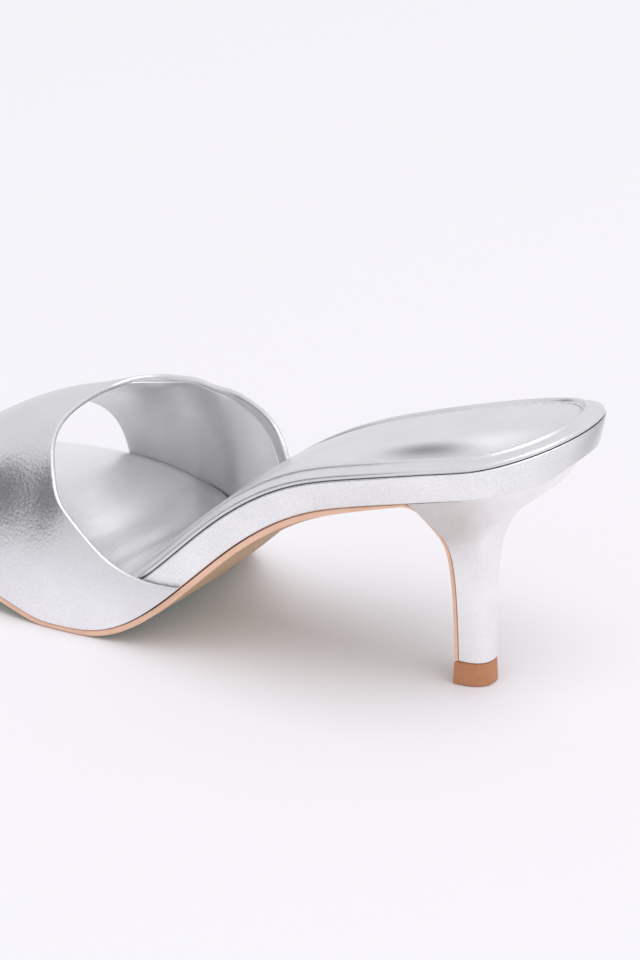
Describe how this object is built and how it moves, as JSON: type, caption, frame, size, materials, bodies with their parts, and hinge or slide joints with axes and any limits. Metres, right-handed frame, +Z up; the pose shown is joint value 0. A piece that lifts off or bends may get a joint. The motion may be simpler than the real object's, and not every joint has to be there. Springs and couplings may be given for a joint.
{
  "type": "heeled mule shoe",
  "caption": "Left open-toe heeled mule with a wide vamp band, a padded sock on a wrapped insole board, a leather outsole and a slim covered heel.",
  "frame": {"origin": "middle of the shoe's box at floor level", "axes": "+X to the toe, +Y to the outer (lateral) side of the left foot, +Z up"},
  "size_m": [0.2272, 0.0888, 0.0809],
  "materials": {
    "outsole_leather": "smooth tan sole leather, waxed edge",
    "board_wrap": "silver metallic foil leather, fine grain",
    "sock_leather": "silver metallic foil leather, stitched and padded",
    "upper_leather": "silver metallic foil leather, fine pebbled grain",
    "heel_cover": "silver metallic foil leather, stretched smooth",
    "top_piece_rubber": "satin orange-brown rubber"
  },
  "bodies": {
    "root": {"outsole": "outsole_leather", "insole_board": "board_wrap", "padded_sock": "sock_leather", "upper": "upper_leather", "heel": "heel_cover", "top_piece": "top_piece_rubber"}
  },
  "joints": []
}
